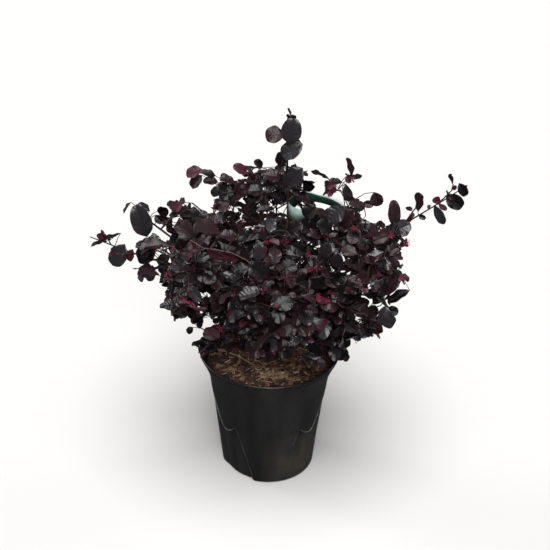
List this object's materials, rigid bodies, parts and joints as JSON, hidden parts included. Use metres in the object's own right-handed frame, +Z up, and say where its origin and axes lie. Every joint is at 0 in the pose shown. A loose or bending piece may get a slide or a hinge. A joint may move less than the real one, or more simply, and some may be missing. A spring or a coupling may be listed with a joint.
{
  "type": "potted chinese fringe flower",
  "caption": "Purple-leaved chinese fringe flower shrub in a black nursery pot, with a short trunk, bent boughs and masses of foliage.",
  "frame": {"origin": "centre of the pot's flat underside", "axes": "+Z up along the pot's axis, -Y towards the side that the picture shows, +X to the right in the picture"},
  "size_m": [0.6062, 0.4267, 0.6439],
  "materials": {
    "pot_plastic": "satin black blown plastic",
    "growing_mix": "moist dark brown bark mix",
    "bark": "fine grey-brown bark",
    "label_plastic": "smooth printed-green plastic strip without print",
    "foliage": "dark purple leaves with a soft gloss, plum underneath"
  },
  "bodies": {
    "root": {"pot": "pot_plastic", "growing_mix": "growing_mix", "trunk": "bark", "bough_back": "bark", "bough_back_left": "bark", "bough_back_right": "bark", "bough_front": "bark", "bough_front_left": "bark", "bough_front_right": "bark", "bough_heart": "bark", "bough_left": "bark", "bough_left_shoot": "bark", "bough_low_back": "bark", "bough_low_front_left": "bark", "bough_low_front_right": "bark", "bough_low_left": "bark", "bough_low_right": "bark", "bough_right": "bark", "bough_right_shoot": "bark", "bough_tall_shoot": "bark", "bough_top": "bark", "bough_top_left": "bark", "bough_top_right": "bark", "bough_upper_left_shoot": "bark", "bough_upper_right": "bark", "plant_label": "label_plastic", "foliage_back": "foliage", "foliage_back_left": "foliage", "foliage_back_right": "foliage", "foliage_front": "foliage", "foliage_front_left": "foliage", "foliage_front_right": "foliage", "foliage_heart": "foliage", "foliage_left": "foliage", "foliage_left_shoot": "foliage", "foliage_low_back": "foliage", "foliage_low_front_left": "foliage", "foliage_low_front_right": "foliage", "foliage_low_left": "foliage", "foliage_low_right": "foliage", "foliage_right": "foliage", "foliage_right_shoot": "foliage", "foliage_tall_shoot": "foliage", "foliage_top": "foliage", "foliage_top_left": "foliage", "foliage_top_right": "foliage", "foliage_upper_left_shoot": "foliage", "foliage_upper_right": "foliage"}
  },
  "joints": []
}
